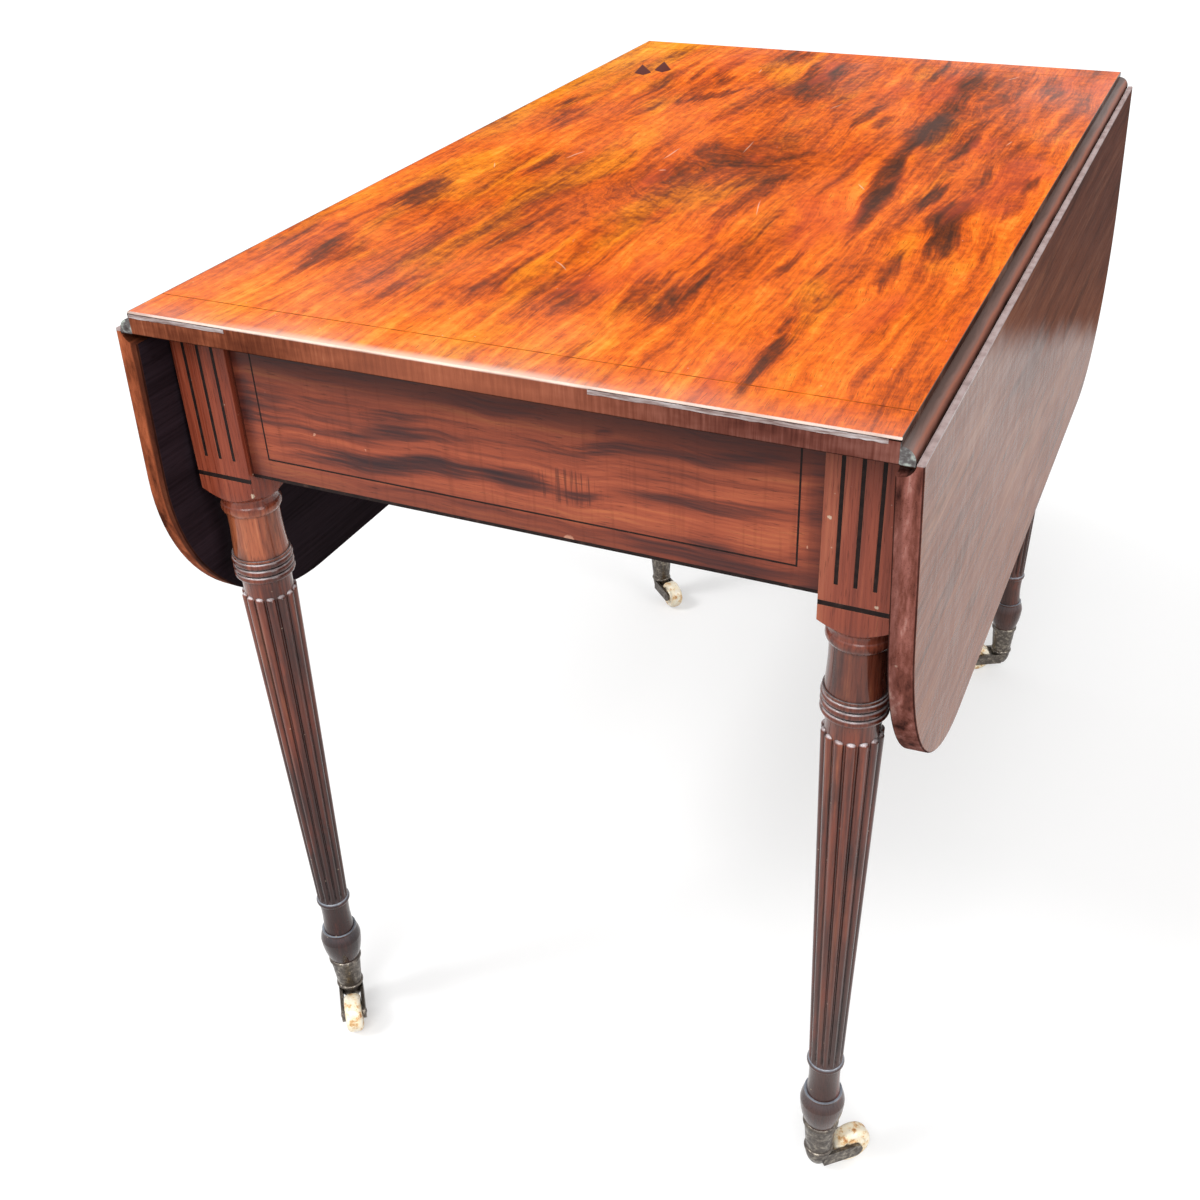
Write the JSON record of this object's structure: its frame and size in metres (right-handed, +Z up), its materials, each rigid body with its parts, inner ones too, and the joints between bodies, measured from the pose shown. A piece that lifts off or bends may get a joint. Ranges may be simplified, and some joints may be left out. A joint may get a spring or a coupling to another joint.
{
  "type": "pembroke table",
  "caption": "Drop-leaf pembroke table: fixed top with two hanging rounded leaves on rule joints, fly brackets, end drawer, string-inlaid frieze and reeded turned legs on castors.",
  "frame": {"origin": "on the floor under the middle of the top", "axes": "+Z up, +X across the table from the left leaf to the right leaf, +Y along the top from the plain end to the drawer end"},
  "size_m": [0.5648, 0.87, 0.712],
  "materials": {
    "mahogany_top": "french polished figured mahogany",
    "mahogany_leaf": "worn polish, mahogany",
    "mahogany_frame": "polished mahogany",
    "mahogany_leg": "polished mahogany, darker at the foot",
    "ebony": "polished dark inlay",
    "secondary_wood": "unpolished pine and oak",
    "hinge_iron": "dark wrought iron",
    "castor_brass": "patinated brass",
    "pin_steel": "plain steel",
    "ceramic_wheel": "glazed, worn"
  },
  "bodies": {
    "frame": {"castor_cup_front_left": "castor_brass", "castor_cup_front_right": "castor_brass", "castor_cup_rear_left": "castor_brass", "castor_cup_rear_right": "castor_brass", "castor_swivel_pins": "pin_steel", "drawer_kickers": "secondary_wood", "drawer_rail_lower": "mahogany_frame", "drawer_rail_upper": "mahogany_frame", "drawer_runners": "secondary_wood", "drawer_stops": "secondary_wood", "end_rail_front": "mahogany_frame", "end_stringing": "ebony", "fly_pins": "pin_steel", "fly_rail_left": "secondary_wood", "fly_rail_right": "secondary_wood", "hinge_flaps_top_left": "hinge_iron", "hinge_flaps_top_right": "hinge_iron", "hinge_pins": "pin_steel", "hinge_screws_top": "hinge_iron", "leg_front_left": "mahogany_leg", "leg_front_right": "mahogany_leg", "leg_rear_left": "mahogany_leg", "leg_rear_right": "mahogany_leg", "post_stringing": "ebony", "rear_stiles": "mahogany_frame", "side_rail_left": "secondary_wood", "side_rail_right": "secondary_wood", "top_board": "mahogany_top", "top_fixing_screws": "hinge_iron", "top_stringing": "ebony"},
    "left_leaf": {"leaf_left": "mahogany_leaf", "hinge_flaps_leaf_left": "hinge_iron", "hinge_screws_leaf_left": "hinge_iron"},
    "right_leaf": {"leaf_right": "mahogany_leaf", "hinge_flaps_leaf_right": "hinge_iron", "hinge_screws_leaf_right": "hinge_iron"},
    "fly_bracket_front_left": {"fly_bracket_front_left": "secondary_wood"},
    "fly_bracket_rear_left": {"fly_bracket_rear_left": "secondary_wood"},
    "fly_bracket_front_right": {"fly_bracket_front_right": "secondary_wood"},
    "fly_bracket_rear_right": {"fly_bracket_rear_right": "secondary_wood"},
    "drawer": {"drawer_front": "mahogany_frame", "drawer_side_left": "secondary_wood", "drawer_side_right": "secondary_wood", "drawer_back": "secondary_wood", "drawer_bottom": "secondary_wood", "drawer_knobs": "mahogany_leg"},
    "castor_front_left": {"castor_horn_front_left": "castor_brass", "castor_axle_front_left": "pin_steel"},
    "wheel_front_left": {"castor_wheel_front_left": "ceramic_wheel"},
    "castor_front_right": {"castor_horn_front_right": "castor_brass", "castor_axle_front_right": "pin_steel"},
    "wheel_front_right": {"castor_wheel_front_right": "ceramic_wheel"},
    "castor_rear_left": {"castor_horn_rear_left": "castor_brass", "castor_axle_rear_left": "pin_steel"},
    "wheel_rear_left": {"castor_wheel_rear_left": "ceramic_wheel"},
    "castor_rear_right": {"castor_horn_rear_right": "castor_brass", "castor_axle_rear_right": "pin_steel"},
    "wheel_rear_right": {"castor_wheel_rear_right": "ceramic_wheel"}
  },
  "joints": [
    {"name": "left_leaf_hinge", "type": "hinge", "parent": "frame", "child": "left_leaf", "pos_m": [-0.257, 0, 0.6985], "axis": [0, 1, 0], "range_deg": [0, 87.5]},
    {"name": "right_leaf_hinge", "type": "hinge", "parent": "frame", "child": "right_leaf", "pos_m": [0.257, 0, 0.6985], "axis": [0, -1, 0], "range_deg": [0, 87.5]},
    {"name": "fly_bracket_front_left_swing", "type": "hinge", "parent": "frame", "child": "fly_bracket_front_left", "pos_m": [-0.2368, -0.078, 0.64], "axis": [0, 0, -1], "range_deg": [0, 2]},
    {"name": "fly_bracket_rear_left_swing", "type": "hinge", "parent": "frame", "child": "fly_bracket_rear_left", "pos_m": [-0.2368, 0.078, 0.64], "axis": [0, 0, 1], "range_deg": [0, 2]},
    {"name": "fly_bracket_front_right_swing", "type": "hinge", "parent": "frame", "child": "fly_bracket_front_right", "pos_m": [0.2368, -0.078, 0.64], "axis": [0, 0, 1], "range_deg": [0, 2]},
    {"name": "fly_bracket_rear_right_swing", "type": "hinge", "parent": "frame", "child": "fly_bracket_rear_right", "pos_m": [0.2368, 0.078, 0.64], "axis": [0, 0, -1], "range_deg": [0, 2]},
    {"name": "drawer_slide", "type": "slide", "parent": "frame", "child": "drawer", "axis": [0, 1, 0], "range_m": [0, 0.32]},
    {"name": "castor_swivel_front_left", "type": "hinge", "parent": "frame", "child": "castor_front_left", "pos_m": [-0.2314, -0.3838, 0.02], "axis": [0, 0, 1], "continuous": true},
    {"name": "wheel_roll_front_left", "type": "hinge", "parent": "castor_front_left", "child": "wheel_front_left", "pos_m": [-0.21335, -0.40776, 0.0175], "axis": [0.7986, 0.6018, 0], "continuous": true},
    {"name": "castor_swivel_front_right", "type": "hinge", "parent": "frame", "child": "castor_front_right", "pos_m": [0.2314, -0.3838, 0.02], "axis": [0, 0, 1], "continuous": true},
    {"name": "wheel_roll_front_right", "type": "hinge", "parent": "castor_front_right", "child": "wheel_front_right", "pos_m": [0.25224, -0.36222, 0.0175], "axis": [-0.7193, 0.6947, 0], "continuous": true},
    {"name": "castor_swivel_rear_left", "type": "hinge", "parent": "frame", "child": "castor_rear_left", "pos_m": [-0.2314, 0.3838, 0.02], "axis": [0, 0, 1], "continuous": true},
    {"name": "wheel_roll_rear_left", "type": "hinge", "parent": "castor_rear_left", "child": "wheel_rear_left", "pos_m": [-0.20776, 0.36533, 0.0175], "axis": [0.6157, 0.788, 0], "continuous": true},
    {"name": "castor_swivel_rear_right", "type": "hinge", "parent": "frame", "child": "castor_rear_right", "pos_m": [0.2314, 0.3838, 0.02], "axis": [0, 0, 1], "continuous": true},
    {"name": "wheel_roll_rear_right", "type": "hinge", "parent": "castor_rear_right", "child": "wheel_rear_right", "pos_m": [0.20321, 0.37354, 0.0175], "axis": [0.342, -0.9397, 0], "continuous": true}
  ]
}
